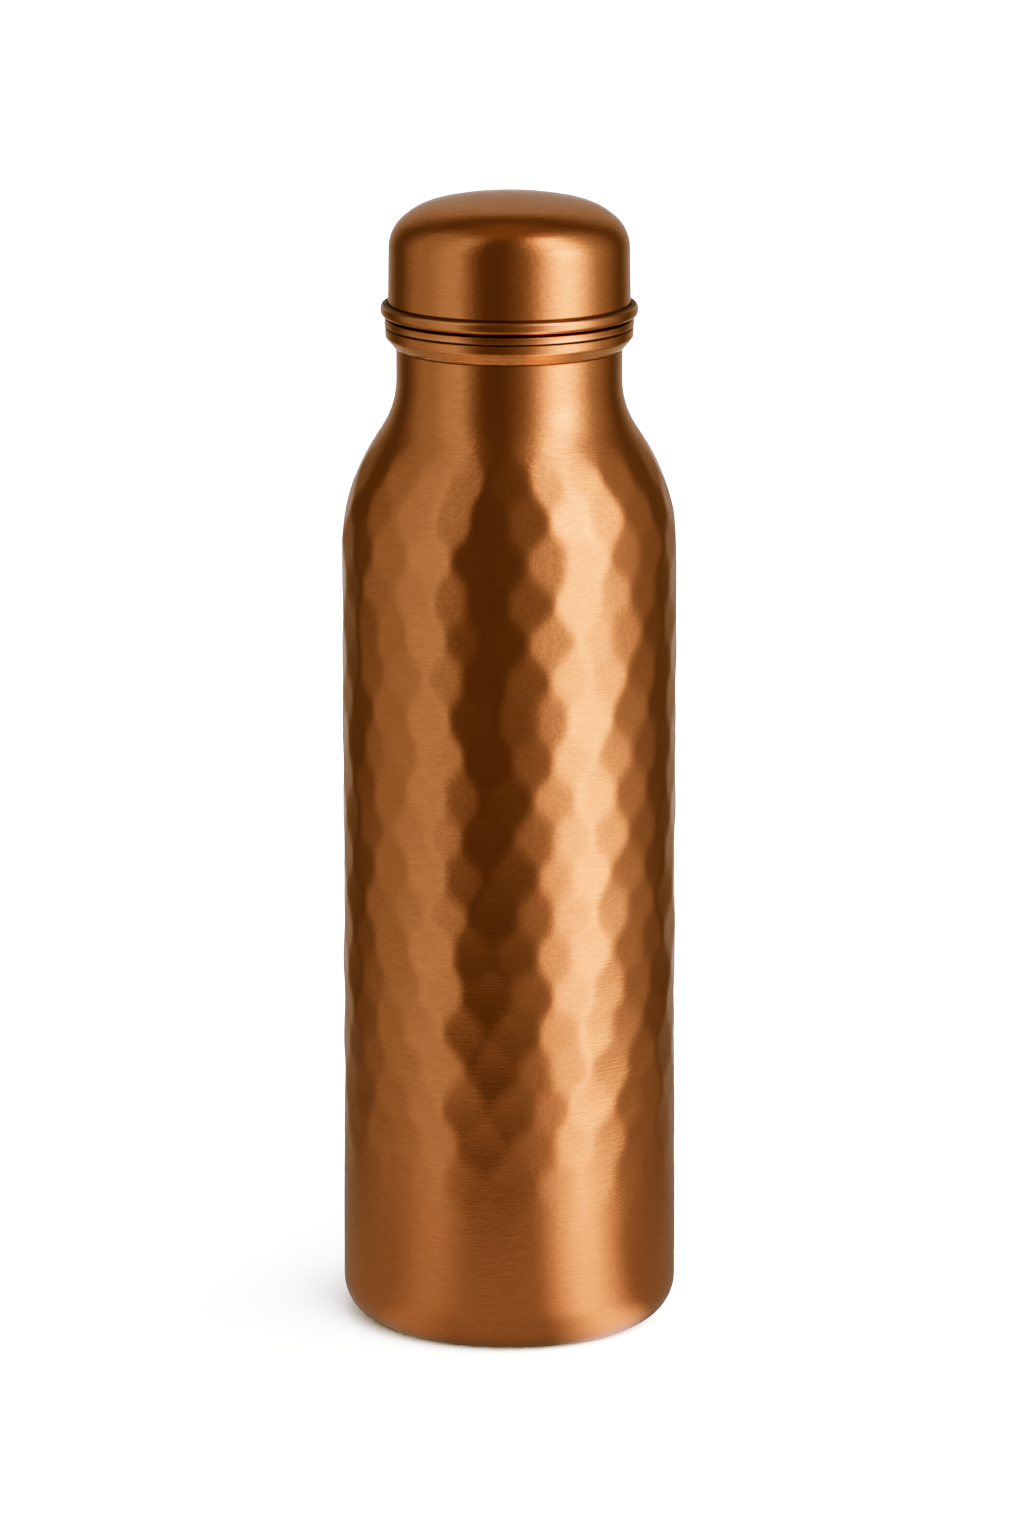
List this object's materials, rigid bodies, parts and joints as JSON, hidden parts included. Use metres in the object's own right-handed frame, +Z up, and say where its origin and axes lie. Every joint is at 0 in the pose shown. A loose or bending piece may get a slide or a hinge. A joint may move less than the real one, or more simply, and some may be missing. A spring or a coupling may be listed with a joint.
{
  "type": "screw-cap water bottle",
  "caption": "Hammered copper water bottle with a rounded shoulder, narrow neck and a domed screw cap sealed by a soft washer.",
  "frame": {"origin": "centre of the foot, on the surface that the bottle stands on", "axes": "+Z up along the bottle's axis, through the mouth and the cap; the bottle is round, so +X and +Y are level and free, with the thread starting on +X"},
  "size_m": [0.076, 0.076, 0.2602],
  "materials": {
    "hammered_copper": "satin brushed, hand-hammered facets",
    "base_copper": "satin, spun",
    "turned_copper": "polished, turned",
    "collar_copper": "satin, turned",
    "cap_copper": "satin brushed, spun",
    "inner_copper": "satin, pressed",
    "silicone": "matte"
  },
  "bodies": {
    "bottle": {"body_shell": "hammered_copper", "base_plate": "base_copper", "neck_ring": "turned_copper", "thread_collar": "collar_copper"},
    "seal": {"cap_gasket": "silicone"},
    "cap": {"cap_shell": "cap_copper", "cap_rim_ring": "turned_copper", "cap_thread_insert": "inner_copper", "cap_liner_disc": "inner_copper"}
  },
  "joints": [
    {"name": "cap_lift", "type": "slide", "parent": "bottle", "child": "seal", "axis": [0, 0, 1], "range_m": [0, 0.04]},
    {"name": "cap_turn", "type": "hinge", "parent": "seal", "child": "cap", "pos_m": [0, 0, 0.2325], "axis": [0, 0, 1], "range_deg": [0, 3600]}
  ],
  "couplings": [
    {"joint": "cap_lift", "follows": "cap_turn", "m_per_rad": 0.00063662}
  ]
}
